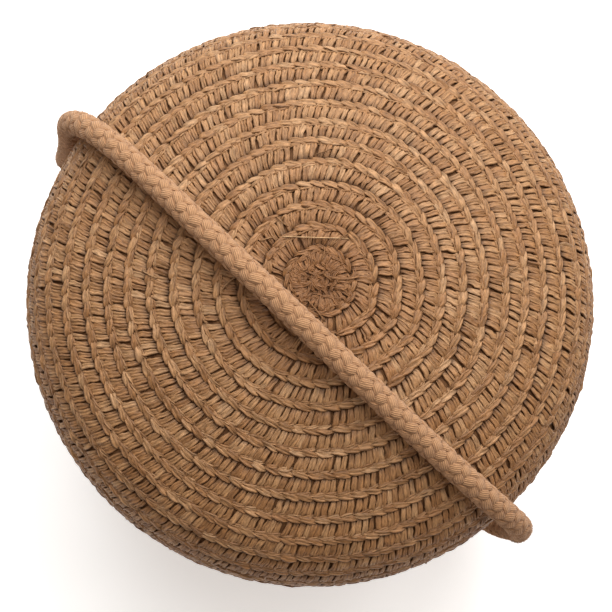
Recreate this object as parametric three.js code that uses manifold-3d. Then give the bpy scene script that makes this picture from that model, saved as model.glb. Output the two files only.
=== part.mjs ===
// A small round bucket bag of crocheted paper straw with a cotton rope handle, standing on its mouth.
// Millimetres. +Z is up and points out of the bag's base, the floor is z = 0, and +X runs along the
// line through the two eyelets that the handle passes through.
import * as THREE from 'three';
import { mergeVertices } from 'three/addons/utils/BufferGeometryUtils.js';
import Module from 'manifold-3d';

// Driving dimensions of the straw shell.
const BAG_RADIUS = 100;
const BAG_HEIGHT = 200;
const DOME_RADIUS = 200;
const SHOULDER_RADIUS = 29;
const STRAW = 3;
const HEM_HEIGHT = 5.5;
const HEM_PROUD = 1.2;
const SEAM_GAP = 0.3;

// Lining, pocket and the magnetic snap on its two tabs.
const LINING = 1.2;
const LINING_GAP = 0.4;
const LINING_FOOT = 6;
const LINING_SEAM_Z = 150;
const BINDING = 2;
const BINDING_FOOT = 1.2;
const POCKET = { halfAngle: 0.62, open: 54.7, foot: 130, thickness: 0.8, hem: 6.7, hemThickness: 1.1 };
const TAB = { width: 24, low: 4, high: 38, thickness: 1.8, back: 93.5, corner: 5 };
const SNAP = { radius: 7, z: 27, plate: 0.6, base: 1.6, post: 2.8, postLength: 2, socket: 3, bore: 3.2, depth: 2.4 };

// Eyelets, rope and stopper knots.
const EYELET = { z: 22, bore: 6, barrel: 6.9, flange: 12, thick: 1.25, face: 100.35, lip: 8.6, lipEnd: 92 };
const HOLE_RADIUS = 7.4;
const WASHER = { inner: 7.2, thick: 1, face: 93.2 };
const ROPE_RADIUS = 4.5;
const ROPE_SIDES = 10;
const ROPE_STEPS = 72;
const KNOT = { face: 91.5, radius: 12, length: 21, tail: 12 };
const WHIPPING = { inner: 4.8, outer: 5.4, length: 5.5 };

// How finely the round pieces are divided.
const AROUND = 60;
const AROUND_SMALL = 24;
const DOME_STEPS = 4;
const SHOULDER_STEPS = 5;

const wasm = await Module();
wasm.setup();

const STRAW_LOOK = { color: 0xb98d5f, roughness: 0.8, metalness: 0 };
const LINING_LOOK = { color: 0xd8cbb4, roughness: 0.95, metalness: 0 };
const BINDING_LOOK = { color: 0xcbb791, roughness: 0.9, metalness: 0 };
const METAL_LOOK = { color: 0x9a8560, roughness: 0.4, metalness: 1 };
const ROPE_LOOK = { color: 0xc49c74, roughness: 0.95, metalness: 0 };
const THREAD_LOOK = { color: 0xe0cda9, roughness: 0.8, metalness: 0 };

function piece(name, geometry, look) {
  const mesh = new THREE.Mesh(geometry, new THREE.MeshStandardMaterial(look));
  mesh.name = name;
  return mesh;
}

// A body turned about Z from [radius, height] points, listed counter-clockwise with the radius to the right.
function turned(points, around = AROUND) {
  const profile = points.map(([radius, height]) => new THREE.Vector2(radius, height));
  return new THREE.LatheGeometry(profile, around).rotateX(Math.PI / 2);
}

// A ring of rectangular section.
function ring(inner, outer, low, high, around = AROUND) {
  return turned([[inner, low], [outer, low], [outer, high], [inner, high], [inner, low]], around);
}

// The same kinds of body turned about the X axis, for whatever sits in the two eyelets.
function turnedAboutX(points) {
  return turned(points, AROUND_SMALL).rotateY(Math.PI / 2);
}

function toManifold(geometry) {
  const bare = geometry.clone();
  bare.deleteAttribute('normal');
  bare.deleteAttribute('uv');
  const merged = mergeVertices(bare, 1e-4);
  return new wasm.Manifold(new wasm.Mesh({
    numProp: 3,
    vertProperties: new Float32Array(merged.attributes.position.array),
    triVerts: new Uint32Array(merged.index.array),
  }));
}

function toGeometry(manifold) {
  const mesh = manifold.getMesh();
  const geometry = new THREE.BufferGeometry();
  geometry.setAttribute('position', new THREE.BufferAttribute(mesh.vertProperties, 3));
  geometry.setIndex(new THREE.BufferAttribute(mesh.triVerts, 1));
  return geometry;
}

// A wall with the two holes that the eyelets are set in.
function withEyeletHoles(geometry) {
  const drill = new THREE.CylinderGeometry(HOLE_RADIUS, HOLE_RADIUS, 3 * BAG_RADIUS, AROUND_SMALL);
  drill.rotateZ(Math.PI / 2).translate(0, 0, EYELET.z);
  return toGeometry(toManifold(geometry).subtract(toManifold(drill)));
}

// The shell's surface at a depth below its outer face, from the axis to where the shoulder meets the wall.
const DOME_CENTRE_Z = BAG_HEIGHT - DOME_RADIUS;
const SHOULDER_CENTRE = BAG_RADIUS - SHOULDER_RADIUS;
const SHOULDER_RISE = Math.sqrt((DOME_RADIUS - SHOULDER_RADIUS) ** 2 - SHOULDER_CENTRE ** 2);
const SHOULDER_Z = DOME_CENTRE_Z + SHOULDER_RISE;
const DOME_ANGLE = Math.atan2(SHOULDER_CENTRE, SHOULDER_RISE);

function shellCurve(depth) {
  const points = [];
  for (let i = 0; i <= DOME_STEPS; i++) {
    const angle = DOME_ANGLE * i / DOME_STEPS;
    const radius = DOME_RADIUS - depth;
    points.push([radius * Math.sin(angle), DOME_CENTRE_Z + radius * Math.cos(angle)]);
  }
  for (let i = 1; i <= SHOULDER_STEPS; i++) {
    const angle = DOME_ANGLE + (Math.PI / 2 - DOME_ANGLE) * i / SHOULDER_STEPS;
    const radius = SHOULDER_RADIUS - depth;
    points.push([SHOULDER_CENTRE + radius * Math.sin(angle), SHOULDER_Z + radius * Math.cos(angle)]);
  }
  return points;
}

// A domed cap between two depths, with its wall carried down to a foot.
function domedCap(outerDepth, innerDepth, foot) {
  const inner = shellCurve(innerDepth);
  const outer = shellCurve(outerDepth).reverse();
  const edge = [[BAG_RADIUS - innerDepth, foot], [BAG_RADIUS - outerDepth, foot]];
  const closed = foot < SHOULDER_Z ? [...inner, ...edge, ...outer] : [...inner, ...outer];
  return turned(closed);
}

// ---- Straw shell -------------------------------------------------------------------------------

function strawBase() {
  return piece('straw_base', domedCap(0, STRAW, SHOULDER_Z), STRAW_LOOK);
}

function strawWall() {
  const wall = ring(BAG_RADIUS - STRAW, BAG_RADIUS, HEM_HEIGHT + SEAM_GAP, SHOULDER_Z - SEAM_GAP);
  return piece('straw_wall', withEyeletHoles(wall), STRAW_LOOK);
}

// The last round at the mouth: a rounded cord-like edge with the flat underside that the bag stands on.
function mouthHem() {
  const inner = BAG_RADIUS - STRAW;
  const outer = BAG_RADIUS + HEM_PROUD;
  const profile = [
    [inner, 0.6],
    [inner + 0.6, 0],
    [BAG_RADIUS - 0.4, 0],
    [outer - 0.35, 0.9],
    [outer, HEM_HEIGHT / 2],
    [outer - 0.35, HEM_HEIGHT - 0.9],
    [BAG_RADIUS - 0.4, HEM_HEIGHT],
    [inner, HEM_HEIGHT],
    [inner, 0.6],
  ];
  return piece('mouth_hem', turned(profile), STRAW_LOOK);
}

// ---- Lining, pocket and snap -------------------------------------------------------------------

const LINING_OUTER_DEPTH = STRAW + LINING_GAP;
const LINING_INNER_DEPTH = LINING_OUTER_DEPTH + LINING;
const LINING_OUTER = BAG_RADIUS - LINING_OUTER_DEPTH;
const LINING_INNER = BAG_RADIUS - LINING_INNER_DEPTH;

function liningBase() {
  const cap = domedCap(LINING_OUTER_DEPTH, LINING_INNER_DEPTH, LINING_SEAM_Z);
  return piece('lining_base', cap, LINING_LOOK);
}

function liningWall() {
  const wall = ring(LINING_INNER, LINING_OUTER, LINING_FOOT, LINING_SEAM_Z - SEAM_GAP);
  return piece('lining_wall', withEyeletHoles(wall), LINING_LOOK);
}

function mouthBinding() {
  const strip = ring(LINING_OUTER - BINDING, LINING_OUTER, BINDING_FOOT, LINING_FOOT - SEAM_GAP);
  return piece('mouth_binding', strip, BINDING_LOOK);
}

// A strip of cloth lying against the inside of the lining, centred on -Y.
function curvedStrip(thickness, low, high) {
  const outer = LINING_INNER - SEAM_GAP;
  const middle = -Math.PI / 2;
  const shape = new THREE.Shape();
  shape.absarc(0, 0, outer, middle - POCKET.halfAngle, middle + POCKET.halfAngle, false);
  shape.absarc(0, 0, outer - thickness, middle + POCKET.halfAngle, middle - POCKET.halfAngle, true);
  shape.closePath();
  const strip = new THREE.ExtrudeGeometry(shape, { depth: high - low, bevelEnabled: false, curveSegments: 12 });
  return strip.translate(0, 0, low);
}

function pocketPanel() {
  return piece('pocket_panel', curvedStrip(POCKET.thickness, POCKET.open, POCKET.foot), LINING_LOOK);
}

function pocketHem() {
  const open = POCKET.open - SEAM_GAP;
  return piece('pocket_hem', curvedStrip(POCKET.hemThickness, open - POCKET.hem, open), BINDING_LOOK);
}

// Local frame of each snap half: the cloth tab lies in XZ, and +Y points from the tab into the bag.
function snapTab(name) {
  const half = TAB.width / 2;
  const shape = new THREE.Shape();
  shape.moveTo(-half, TAB.low);
  shape.lineTo(half, TAB.low);
  shape.lineTo(half, TAB.high - TAB.corner);
  shape.absarc(half - TAB.corner, TAB.high - TAB.corner, TAB.corner, 0, Math.PI / 2, false);
  shape.absarc(-half + TAB.corner, TAB.high - TAB.corner, TAB.corner, Math.PI / 2, Math.PI, false);
  shape.closePath();
  const cloth = new THREE.ExtrudeGeometry(shape, {
    depth: TAB.thickness, bevelEnabled: false, curveSegments: 5,
  });
  return piece(name, cloth.rotateX(Math.PI / 2).translate(0, TAB.thickness, 0), BINDING_LOOK);
}

// Snap pieces are turned about Z and then laid along +Y, from the given distance in front of the tab's back.
function snapPiece(name, points, front) {
  const body = turned(points, AROUND_SMALL).rotateX(-Math.PI / 2).translate(0, front, SNAP.z);
  return piece(name, body, METAL_LOOK);
}

function snapPlate(name) {
  const disc = [[0, 0], [SNAP.radius, 0], [SNAP.radius, SNAP.plate], [0, SNAP.plate]];
  return snapPiece(name, disc, -SEAM_GAP - SNAP.plate);
}

function snapStud() {
  const top = SNAP.base + SNAP.postLength;
  const stud = [
    [0, 0],
    [SNAP.radius, 0],
    [SNAP.radius, SNAP.base],
    [SNAP.post, SNAP.base],
    [SNAP.post, top],
    [0, top],
  ];
  return snapPiece('snap_stud', stud, TAB.thickness + SEAM_GAP);
}

function snapSocket() {
  const floor = SNAP.socket - SNAP.depth;
  const socket = [
    [0, 0],
    [SNAP.radius, 0],
    [SNAP.radius, SNAP.socket],
    [SNAP.bore, SNAP.socket],
    [SNAP.bore, floor],
    [0, floor],
  ];
  return snapPiece('snap_socket', socket, TAB.thickness + SEAM_GAP);
}

// One half of the snap against the lining, on the -Y side or, turned half round, on the +Y side.
function snapHalf(side, magnet) {
  const half = new THREE.Group();
  half.add(snapTab(`snap_tab_${side}`), snapPlate(`snap_plate_${side}`), magnet);
  half.position.y = side === 'front' ? -TAB.back : TAB.back;
  half.rotation.z = side === 'front' ? 0 : Math.PI;
  return half;
}

// ---- Eyelets -----------------------------------------------------------------------------------

// Flange outside, barrel through the wall, and the inner end rolled out over its washer.
function eyelet(name) {
  const washerFace = WASHER.face - SEAM_GAP;
  const back = EYELET.face + EYELET.thick;
  const profile = [
    [EYELET.bore, EYELET.lipEnd],
    [EYELET.lip, EYELET.lipEnd],
    [EYELET.lip, washerFace],
    [EYELET.barrel, washerFace],
    [EYELET.barrel, EYELET.face],
    [EYELET.flange, EYELET.face],
    [EYELET.flange, back - 0.5],
    [EYELET.flange - 0.8, back],
    [EYELET.bore + 0.8, back],
    [EYELET.bore, back - 0.8],
    [EYELET.bore, EYELET.lipEnd],
  ];
  return piece(name, turnedAboutX(profile), METAL_LOOK);
}

function washer(name) {
  const outer = EYELET.flange;
  const end = WASHER.face + WASHER.thick;
  const profile = [
    [WASHER.inner, WASHER.face],
    [outer, WASHER.face],
    [outer, end],
    [WASHER.inner, end],
    [WASHER.inner, WASHER.face],
  ];
  return piece(name, turnedAboutX(profile), METAL_LOOK);
}

// ---- Rope handle -------------------------------------------------------------------------------

// The stopper knot against the eyelet, with the short tail that is left beyond it.
function knot(name) {
  const end = KNOT.face - KNOT.length;
  const points = [[0, end - KNOT.tail], [ROPE_RADIUS, end - KNOT.tail], [ROPE_RADIUS, end]];
  const lobes = 8;
  for (let i = 1; i < lobes; i++) {
    const angle = Math.PI * i / lobes;
    const swell = Math.sin(angle) ** 0.7;
    points.push([Math.max(KNOT.radius * swell, ROPE_RADIUS), end + KNOT.length * (1 - Math.cos(angle)) / 2]);
  }
  points.push([ROPE_RADIUS, KNOT.face], [0, KNOT.face]);
  return piece(name, turnedAboutX(points), ROPE_LOOK);
}

// Thread wound round the end of the tail.
function whipping(name) {
  const low = KNOT.face - KNOT.length - KNOT.tail + 0.5;
  const high = low + WHIPPING.length;
  const profile = [
    [WHIPPING.inner, low],
    [WHIPPING.outer, low],
    [WHIPPING.outer, high],
    [WHIPPING.inner, high],
    [WHIPPING.inner, low],
  ];
  return piece(name, turnedAboutX(profile), THREAD_LOOK);
}

// The rope's centre line from the left knot, out through the left eyelet, up the wall, over the base
// and back through the right eyelet. It leans towards -Y, and hangs a little outside the wall.
const ROPE_ROUTE = [
  [-91.8, 0, 22], [-100.2, 0, 22], [-106.2, -0.2, 22.9], [-112, -1, 25.6], [-116.6, -2.7, 30],
  [-119.5, -5.1, 35.9], [-120.6, -8, 43], [-119.9, -11.2, 53.5], [-117.4, -14, 68], [-113.2, -15.8, 89],
  [-108.7, -15.8, 115], [-105.7, -15.1, 139], [-104.7, -14.5, 156], [-101.7, -14, 169.8],
  [-95.3, -13, 180], [-84.5, -12.6, 187.7], [-64, -13, 195.5], [-33, -14.3, 203.6], [0, -14.9, 206.8],
  [33, -15, 203.6], [64, -14.2, 195.5], [86, -12.8, 187.1], [96.8, -11.5, 179.5], [104.2, -10.1, 169.4],
  [107.6, -8.8, 156], [110.4, -6.8, 136], [113.9, -4.2, 112], [117.4, -1.3, 88], [120, 1.2, 66],
  [121, 2.4, 53], [120.7, 2.6, 43], [119.4, 2, 35.9], [116.5, 1.2, 30], [112, 0.4, 25.6],
  [106.2, 0, 22.9], [100.2, 0, 22], [91.8, 0, 22],
];

function ropeSection() {
  const section = new THREE.Shape();
  for (let i = 0; i < ROPE_SIDES; i++) {
    const angle = 2 * Math.PI * i / ROPE_SIDES;
    const corner = [ROPE_RADIUS * Math.cos(angle), ROPE_RADIUS * Math.sin(angle)];
    if (i === 0) section.moveTo(...corner);
    else section.lineTo(...corner);
  }
  section.closePath();
  return section;
}

function handleRope() {
  const route = new THREE.CatmullRomCurve3(ROPE_ROUTE.map((point) => new THREE.Vector3(...point)));
  const tube = new THREE.ExtrudeGeometry(ropeSection(), { steps: ROPE_STEPS, extrudePath: route });
  return piece('handle_rope', tube, ROPE_LOOK);
}

// ---- Assembly ----------------------------------------------------------------------------------

// What sits in one eyelet is built on the +X side, and turned half round for the -X side.
function atEyelet(side, ...meshes) {
  const group = new THREE.Group();
  group.add(...meshes);
  group.position.z = EYELET.z;
  group.rotation.z = side === 'left' ? Math.PI : 0;
  return group;
}

const bag = new THREE.Group();
bag.add(strawBase(), strawWall(), mouthHem());
bag.add(liningBase(), liningWall(), mouthBinding(), pocketPanel(), pocketHem());
bag.add(snapHalf('front', snapStud()), snapHalf('back', snapSocket()));

const handle = new THREE.Group();
handle.add(handleRope());

for (const side of ['left', 'right']) {
  bag.add(atEyelet(side, eyelet(`eyelet_${side}`), washer(`eyelet_washer_${side}`)));
  handle.add(atEyelet(side, knot(`knot_${side}`), whipping(`whipping_${side}`)));
}

const group = new THREE.Group();
group.add(bag, handle);

export default group;
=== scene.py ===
"""A small crocheted straw bucket bag, standing on its mouth, with a braided cotton rope handle."""
import math

import bmesh
import bpy
import numpy as np
from mathutils import Matrix, Vector


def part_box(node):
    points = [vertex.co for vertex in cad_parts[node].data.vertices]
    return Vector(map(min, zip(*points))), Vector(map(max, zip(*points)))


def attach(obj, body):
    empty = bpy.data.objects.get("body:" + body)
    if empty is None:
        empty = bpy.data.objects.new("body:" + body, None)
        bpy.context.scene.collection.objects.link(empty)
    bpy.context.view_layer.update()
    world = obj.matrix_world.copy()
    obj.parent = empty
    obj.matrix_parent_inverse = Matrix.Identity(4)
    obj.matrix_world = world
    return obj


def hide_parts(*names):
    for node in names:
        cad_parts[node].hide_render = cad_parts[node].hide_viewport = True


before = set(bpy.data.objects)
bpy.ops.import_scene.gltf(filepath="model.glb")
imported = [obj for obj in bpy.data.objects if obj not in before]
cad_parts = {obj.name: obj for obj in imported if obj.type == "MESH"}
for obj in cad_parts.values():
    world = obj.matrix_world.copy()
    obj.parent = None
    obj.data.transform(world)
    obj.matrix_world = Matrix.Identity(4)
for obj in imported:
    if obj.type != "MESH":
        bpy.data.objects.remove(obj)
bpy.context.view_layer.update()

MM = 0.001
RNG = np.random.default_rng(11)


# ---- Sizes, from the frame

def corners_of(node):
    """The low and the high corner of a node's box."""
    return [np.array(corner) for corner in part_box(node)]


BASE_LOW, BASE_HIGH = corners_of("straw_base")
EYELET_LOW, EYELET_HIGH = corners_of("eyelet_right")
KNOT_LOW, KNOT_HIGH = corners_of("knot_right")
TAB_LOW, TAB_HIGH = corners_of("snap_tab_front")
PANEL_LOW, PANEL_HIGH = corners_of("pocket_panel")
HEM_TAPE_LOW, HEM_TAPE_HIGH = corners_of("pocket_hem")
BINDING_LOW, BINDING_HIGH = corners_of("mouth_binding")

BAG_RADIUS = BASE_HIGH[0]
BAG_HEIGHT = BASE_HIGH[2]
SHOULDER_Z = BASE_LOW[2]
HEM_TOP = corners_of("mouth_hem")[1][2]
CAP_FOOT = corners_of("lining_base")[0][2]
EYELET_Z = (EYELET_LOW[2] + EYELET_HIGH[2]) / 2

# The base is a shallow dome that turns down into the wall over a rounded shoulder.
DOME_RADIUS = 200 * MM
SHOULDER_RADIUS = 29 * MM
SHOULDER_CENTRE = BAG_RADIUS - SHOULDER_RADIUS
DOME_ANGLE = math.asin(SHOULDER_CENTRE / (DOME_RADIUS - SHOULDER_RADIUS))
DOME_LENGTH = DOME_RADIUS * DOME_ANGLE
SHOULDER_LENGTH = SHOULDER_RADIUS * (math.pi / 2 - DOME_ANGLE)
BASE_LENGTH = DOME_LENGTH + SHOULDER_LENGTH
WALL_END = BASE_LENGTH + SHOULDER_Z - HEM_TOP


# ---- Camera, at the photograph's angle

def add_camera():
    """Looks down on the base from 0.52 m above it, about ten degrees off its axis."""
    distance, lens = 520 * MM, 93.8
    back = Vector((0.0575, -0.158, 1.0)).normalized()
    up = Vector((-0.682, 0.731, 0.0))
    up = (up - back * up.dot(back)).normalized()
    right = up.cross(back)
    apex = Vector((0, 0, BAG_HEIGHT))
    camera = bpy.data.objects.new("camera", bpy.data.cameras.new("camera"))
    bpy.context.collection.objects.link(camera)
    place = apex + back * distance
    aim = apex - right * 4.6 * MM - up * 8.2 * MM
    look = (place - aim).normalized()
    side = up.cross(look).normalized()
    turn = Matrix((side, look.cross(side), look)).transposed().to_4x4()
    camera.matrix_world = Matrix.Translation(place) @ turn
    camera.data.lens = lens
    camera.data.clip_start = 10 * MM
    bpy.context.scene.camera = camera


# ---- Mesh helpers

def mesh_piece(name, points, quads, material, values=None, smooth=True):
    """A mesh object from arrays of points and quads, with its named values per point."""
    mesh = bpy.data.meshes.new(name)
    mesh.vertices.add(len(points))
    mesh.vertices.foreach_set("co", np.asarray(points, np.float32).ravel())
    mesh.loops.add(quads.size)
    mesh.loops.foreach_set("vertex_index", np.asarray(quads, np.int32).ravel())
    mesh.polygons.add(len(quads))
    mesh.polygons.foreach_set("loop_start", np.arange(0, quads.size, 4, dtype=np.int32))
    mesh.update(calc_edges=True)
    mesh.validate()
    for key, numbers in (values or {}).items():
        attribute = mesh.attributes.new(key, "FLOAT", "POINT")
        attribute.data.foreach_set("value", np.asarray(numbers, np.float32).ravel())
    if smooth:
        mesh.shade_smooth()
    mesh.materials.append(material)
    piece = bpy.data.objects.new(name, mesh)
    bpy.context.collection.objects.link(piece)
    return piece


def polar(radius, angle, height):
    """Points at a distance from the upright axis, an angle and a height."""
    return np.stack([radius * np.cos(angle), radius * np.sin(angle), height + 0 * angle], axis=-1)


def unit(vectors):
    """The same directions, of length 1."""
    return vectors / np.maximum(np.linalg.norm(vectors, axis=-1, keepdims=True), 1e-12)


def curve_weights(count, samples):
    """Weights (samples, count) of a smooth curve that passes through count control points."""
    knots = np.vstack([2 * np.eye(count)[0] - np.eye(count)[1], np.eye(count),
                       2 * np.eye(count)[-1] - np.eye(count)[-2]])
    rows = []
    for t in np.linspace(0, count - 1, samples):
        i = min(int(t), count - 2)
        f = t - i
        blend = np.array([
            -f**3 + 2 * f**2 - f,
            3 * f**3 - 5 * f**2 + 2,
            -3 * f**3 + 4 * f**2 + f,
            f**3 - f**2,
        ]) / 2
        rows.append(blend @ knots[i:i + 4])
    return np.array(rows)


def tape_section(sides):
    """A flattened oval of unit half-width and half-thickness, counter-clockwise."""
    angle = 2 * np.pi * np.arange(sides) / sides
    across = np.sign(np.cos(angle)) * np.abs(np.cos(angle)) ** 0.8
    return np.stack([across, np.sin(angle)], axis=1)


def swept(centre, normal, width, thick, section):
    """Strands (n, m, 3) swept with one section: points, quads and each point's place on its strand."""
    n, m, _ = centre.shape
    k = len(section)
    tangent = unit(np.gradient(centre, axis=1))
    side = unit(np.cross(tangent, normal))
    up = np.cross(side, tangent)
    across = section[:, 0][None, None, :, None] * (width / 2)[:, :, None, None]
    above = section[:, 1][None, None, :, None] * (thick / 2)[:, :, None, None]
    rings = centre[:, :, None] + side[:, :, None] * across + up[:, :, None] * above
    index = np.arange(n * m * k).reshape(n, m, k)
    a, b = index[:, :-1], index[:, 1:]
    walls = np.stack([a, b, np.roll(b, -1, axis=2), np.roll(a, -1, axis=2)], axis=-1).reshape(-1, 4)
    caps = []
    for j in range(k // 2 - 1):
        near, far = [j, j + 1, k - 2 - j, k - 1 - j], [k - 1 - j, k - 2 - j, j + 1, j]
        caps += [index[:, 0][:, near], index[:, -1][:, far]]
    quads = np.concatenate([walls] + caps)
    length = np.zeros((n, m))
    length[:, 1:] = np.cumsum(np.linalg.norm(np.diff(centre, axis=1), axis=2), axis=1)
    along = np.repeat(length[:, :, None], k, axis=2) / MM
    place = np.broadcast_to(section[:, 0] * 0.5, (n, m, k))
    return rings.reshape(-1, 3), quads, {"along": along.ravel(), "across": place.ravel()}


def lathe(name, profile, material, around=96):
    """A body turned about Z from a closed outline of [radius, height] points, counter-clockwise."""
    profile = np.array(profile)
    angle = 2 * np.pi * np.arange(around)[:, None] / around
    points = polar(profile[:, 0], angle, profile[:, 1])
    here = np.arange(around * len(profile)).reshape(around, len(profile))
    there = np.roll(here, -1, axis=0)
    walls = np.stack([here, there, np.roll(there, -1, 1), np.roll(here, -1, 1)], axis=-1)
    return mesh_piece(name, points.reshape(-1, 3), walls.reshape(-1, 4), material)


def dress(pieces, body):
    """Takes pieces, each with its node and slot, hides those nodes of the frame and lets the pieces ride
    on a body.
    """
    for piece, node, slot in pieces:
        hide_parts(node)
        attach(piece, body)


# ---- Materials

class Nodes:
    """A short way to write a material's nodes."""

    def __init__(self, name):
        self.material = bpy.data.materials.new(name)
        self.material.use_nodes = True
        self.tree = self.material.node_tree
        self.shader = self.tree.nodes["Principled BSDF"]

    def put(self, socket, value):
        """Gives a socket a constant, or links another socket to it."""
        if isinstance(value, bpy.types.NodeSocket):
            self.tree.links.new(value, socket)
        else:
            socket.default_value = value

    def add(self, kind, output, inputs=None, **settings):
        """Adds one node with its settings and inputs, and returns one of its outputs."""
        node = self.tree.nodes.new("ShaderNode" + kind)
        for name, value in settings.items():
            setattr(node, name, value)
        for name, value in (inputs or {}).items():
            self.put(node.inputs[name], value)
        return node.outputs[output]

    def value(self, name):
        return self.add("Attribute", "Fac", attribute_name=name)

    def vector(self, x=0.0, y=0.0, z=0.0):
        return self.add("CombineXYZ", "Vector", {"X": x, "Y": y, "Z": z})

    def place(self):
        return self.add("TexCoord", "Object")

    def from_axis(self):
        """How far a point is from the bag's upright axis, in metres."""
        flat = self.add("VectorMath", "Vector", {0: self.place(), 1: (1, 1, 0)}, operation="MULTIPLY")
        return self.add("VectorMath", "Value", {0: flat}, operation="LENGTH")

    def maths(self, operation, a, b=0.0):
        return self.add("Math", "Value", {0: a, 1: b}, operation=operation)

    def times(self, a, b):
        return self.maths("MULTIPLY", a, b)

    def wave(self, a, b):
        """A wave between 0 and 1 along the sum of two numbers."""
        sine = self.maths("SINE", self.maths("ADD", a, b))
        return self.maths("ADD", self.times(sine, 0.5), 0.5)

    def towards_edge(self, across, power):
        """0 in the middle of a strand and 1 at its edges."""
        return self.maths("POWER", self.times(self.maths("ABSOLUTE", across), 2.0), power)

    def noise(self, vector, scale, detail=3.0, rough=0.55):
        inputs = {"Vector": vector, "Scale": scale, "Detail": detail, "Roughness": rough}
        return self.add("TexNoise", "Fac", inputs)

    def ramp(self, factor, stops):
        """A colour ramp with a list of (position, colour) stops."""
        result = self.add("ValToRGB", "Color", {0: factor})
        elements = result.node.color_ramp.elements
        while len(elements) < len(stops):
            elements.new(0.5)
        for element, (at, colour) in zip(elements, stops):
            element.position = at
            element.color = (*colour, 1)
        return result

    def grey(self, factor, low, high, at=(0.0, 1.0)):
        return self.ramp(factor, [(at[0], (low,) * 3), (at[1], (high,) * 3)])

    def mix(self, factor, a, b, blend="MIX"):
        inputs = {"Factor": factor, "A": a, "B": b}
        return self.add("Mix", "Result", inputs, data_type="RGBA", blend_type=blend)

    def bump(self, height, strength, distance, under=None):
        inputs = {"Height": height, "Strength": strength, "Distance": distance}
        if under is not None:
            inputs["Normal"] = under
        return self.add("Bump", "Normal", inputs)

    def finish(self, colour, roughness, normal=None, **constants):
        """Fills in the shader: colour, roughness, bumps, and constants by the names of its sockets."""
        self.put(self.shader.inputs["Base Color"], colour)
        self.put(self.shader.inputs["Roughness"], roughness)
        if normal is not None:
            self.put(self.shader.inputs["Normal"], normal)
        for name, value in constants.items():
            socket = name.replace("_", " ").title().replace("Ior", "IOR")
            self.shader.inputs[socket].default_value = value
        return self.material


def straw_material():
    """Flat paper yarn: lengthwise creases and strands of slightly different tan. Painted light and shade
    lie along the creases, and painted shade lies at the strands' edges, where they tuck in and over the
    middle of the base."""
    n = Nodes("paper_straw")
    tone, depth = n.value("tone"), n.value("depth")
    along, across = n.value("along"), n.value("across")
    on_yarn = n.vector(n.times(along, 0.22), n.times(across, 2.6),
                       n.times(tone, 37.0))
    streaks = n.noise(on_yarn, 1.7, 4.0, 0.6)
    crumple = n.noise(n.place(), 900.0, 2.0)
    strand = n.ramp(tone, [
        (0.0, (0.305, 0.141, 0.051)),
        (0.35, (0.362, 0.178, 0.071)),
        (0.7, (0.42, 0.222, 0.096)),
        (0.96, (0.475, 0.272, 0.133)),
        (1.0, (0.68, 0.44, 0.24)),
    ])
    # Partly the paper's tan varying along each yarn, partly painted light and shade along its lengthwise
    # creases.
    creased = n.mix(0.8, strand, n.grey(streaks, 0.42, 1.26, (0.33, 0.64)), "MULTIPLY")
    # Painted shade: each yarn darkens towards its edges, where it meets its neighbours.
    edge = n.towards_edge(across, 3.6)
    creased = n.mix(n.times(edge, 0.82), creased, (0.11, 0.045, 0.016, 1))
    # Painted shade: the base's colour darkens towards its middle.
    middle = n.maths("DIVIDE", n.from_axis(), SHADED_MIDDLE_RADIUS)
    middle_shade = n.ramp(middle, [(0.0, (0.78, 0.69, 0.57)), (1.0, (1.0, 1.0, 1.0))])
    creased = n.mix(1.0, creased, middle_shade, "MULTIPLY")
    # Painted shade: yarns darken the deeper they lie below the surface (the depth value), where they tuck
    # under their neighbours.
    colour_with_painted_shade = n.mix(n.times(depth, 0.9), creased, (0.05, 0.019, 0.007, 1))
    bumps = n.bump(streaks, 0.9, 0.55 * MM)
    bumps = n.bump(crumple, 0.25, 0.15 * MM, bumps)
    return n.finish(colour_with_painted_shade, n.grey(streaks, 0.62, 0.44, (0.3, 0.75)), bumps, specular_ior_level=0.42)


def backing_material():
    """The reverse of the stitches, seen only in the gaps between them, coloured far darker than the straw
    as painted shade.
    """
    n = Nodes("straw_reverse_painted_shade")
    rough = n.noise(n.place(), 260.0, 4.0)
    colour = n.ramp(rough, [(0.3, (0.075, 0.03, 0.012)), (0.75, (0.22, 0.105, 0.043))])
    return n.finish(colour, 0.85, n.bump(rough, 0.9, 0.8 * MM), specular_ior_level=0.2)


def rope_material():
    """Braided cotton: each strand is a bundle of fine yarns, matt and a little fuzzy."""
    n = Nodes("braided_cotton")
    tone, depth = n.value("tone"), n.value("depth")
    along, across = n.value("along"), n.value("across")
    wander = n.noise(n.vector(n.times(along, 0.12), across, tone), 1.6, 2.0)
    ridges = n.wave(n.times(across, 36.0), n.times(wander, 8.0))
    on_strand = n.vector(n.times(along, 0.7), n.times(across, 16.0), tone)
    fuzz = n.noise(on_strand, 2.2, 5.0)
    patches = n.noise(n.place(), 120.0, 3.0)
    base = n.ramp(fuzz, [
        (0.28, (0.37, 0.188, 0.088)),
        (0.52, (0.48, 0.262, 0.133)),
        (0.78, (0.58, 0.342, 0.19)),
    ])
    lined = n.mix(0.8, base, n.grey(ridges, 0.66, 1.16), "MULTIPLY")
    lined = n.mix(0.5, lined, n.grey(patches, 0.86, 1.12), "MULTIPLY")
    # Painted shade: each strand darkens towards its edges, in the seams between strands.
    edge = n.towards_edge(across, 4.0)
    lined = n.mix(n.times(edge, 0.6), lined, (0.2, 0.088, 0.035, 1))
    # Painted shade: strands darken where they pass under others, and the core is darkened fully (the
    # depth value).
    colour_with_painted_shade = n.mix(n.times(depth, 0.8), lined, (0.12, 0.047, 0.018, 1))
    bumps = n.bump(ridges, 0.6, 0.3 * MM)
    bumps = n.bump(fuzz, 0.45, 0.3 * MM, bumps)
    return n.finish(colour_with_painted_shade, 0.92, bumps, specular_ior_level=0.12, sheen_weight=0.12, sheen_roughness=0.6)


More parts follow.
